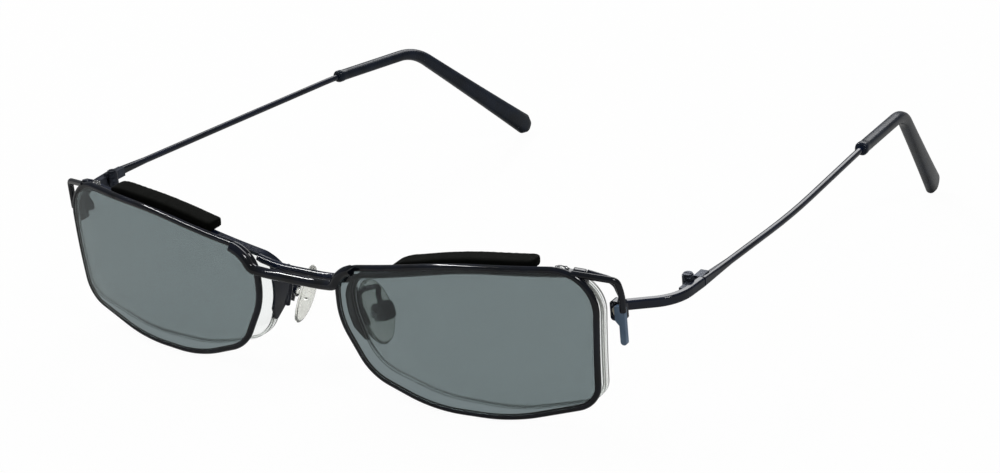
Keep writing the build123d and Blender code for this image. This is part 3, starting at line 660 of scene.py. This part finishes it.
for side, mirror in sides.items():
    for label, shape, place, material, slot in (
        ("_cord_bead", bead_shape(), bead_place, cord_nylon, "clear_cord"),
        ("_braze_block", block_shape(), block_place, frame_enamel, "frame_enamel"),
    ):
        set_down = mirror @ Matrix.Translation(place) @ bar_slope
        bmesh.ops.transform(shape, matrix=set_down, verts=shape.verts)
        make_piece(side + label, shape, material, "front")

# %% [markdown]
# ## Table and light
# The glasses stand on a plain white table that fills the whole picture. Most of its white is its own
# light, for the camera and for what is seen through the lenses, so that it stays white and still keeps a
# soft shadow. The enamel mirrors the table's grey paint alone, which keeps the wires dark from below.
# A broad lamp above fills. A small lamp and a long tube lamp draw the crisp white lines that polished
# enamel shows on wire, where a mirrored broad lamp would turn the whole wire grey. The tube stands where
# the wires across the face mirror it. A softer lamp behind lays a dull sheen along the temples. The room
# itself is a light grey.

# %% Table
table_half_size = 3.0
glow_part, glow_strength = 0.94, 1.03
table = bmesh.new()
bmesh.ops.create_grid(table, x_segments=1, y_segments=1, size=table_half_size)
table_mesh = bpy.data.meshes.new("table")
table.to_mesh(table_mesh)
table.free()
table_object = bpy.data.objects.new("table", table_mesh)
bpy.context.scene.collection.objects.link(table_object)
table_white, tree = start_material("white_table")
paint = add_node(tree, "ShaderNodeBsdfDiffuse", {"Color": linear("#a0a09e")})
glow = add_node(tree, "ShaderNodeEmission", {"Color": linear("#ffffff"), "Strength": glow_strength})
rays = add_node(tree, "ShaderNodeLightPath").outputs
either = add_node(tree, "ShaderNodeMath", operation="MAXIMUM")
tree.links.new(rays["Is Camera Ray"], either.inputs[0])
tree.links.new(rays["Is Transmission Ray"], either.inputs[1])
glow_share = add_node(tree, "ShaderNodeMath", operation="MULTIPLY")
glow_share.inputs[1].default_value = glow_part
tree.links.new(either.outputs["Value"], glow_share.inputs[0])
mix = add_node(tree, "ShaderNodeMixShader", links={"Fac": glow_share.outputs["Value"]})
tree.links.new(paint.outputs["BSDF"], mix.inputs[1])
tree.links.new(glow.outputs["Emission"], mix.inputs[2])
add_node(tree, "ShaderNodeOutputMaterial", links={"Surface": mix.outputs["Shader"]})
table_mesh.materials.append(table_white)
print("table:", table_object.name)

# %% Lamps and room
def add_lamp(name, place, target, size, power, mirrored=True):
    """A flat rectangular lamp that faces its target, mirrored by glossy surfaces or not."""
    data = bpy.data.lights.new(name, "AREA")
    data.shape = "RECTANGLE"
    data.size, data.size_y = size
    data.energy = power
    lamp = bpy.data.objects.new(name, data)
    lamp.visible_glossy = mirrored
    bpy.context.scene.collection.objects.link(lamp)
    place = Vector(place)
    aim = (Vector(target) - place).to_track_quat("-Z", "Y").to_matrix().to_4x4()
    lamp.matrix_world = Matrix.Translation(place) @ aim
    print("lamp:", name)


middle = (0.0, -0.02, 0.02)
room_strength = 0.22
add_lamp("broad_lamp", (-0.5, 0.3, 1.2), middle, (0.9, 0.9), 5.0, mirrored=False)
add_lamp("small_lamp", (0.7, -0.3, 0.9), middle, (0.2, 0.2), 3.5)
add_lamp("tube_lamp", (-0.6, -0.25, 0.9), middle, (0.9, 0.04), 6.0)
add_lamp("back_lamp", (-0.2, 1.0, 0.75), middle, (0.9, 0.5), 5.0)

world = bpy.data.worlds.new("room")
bpy.context.scene.world = world
world.use_nodes = True
world.node_tree.nodes.clear()
room_light = {"Color": linear("#f2f4f6"), "Strength": room_strength}
room = add_node(world.node_tree, "ShaderNodeBackground", room_light)
add_node(world.node_tree, "ShaderNodeOutputWorld", links={"Surface": room.outputs["Background"]})
bpy.context.scene.view_settings.view_transform = "Standard"
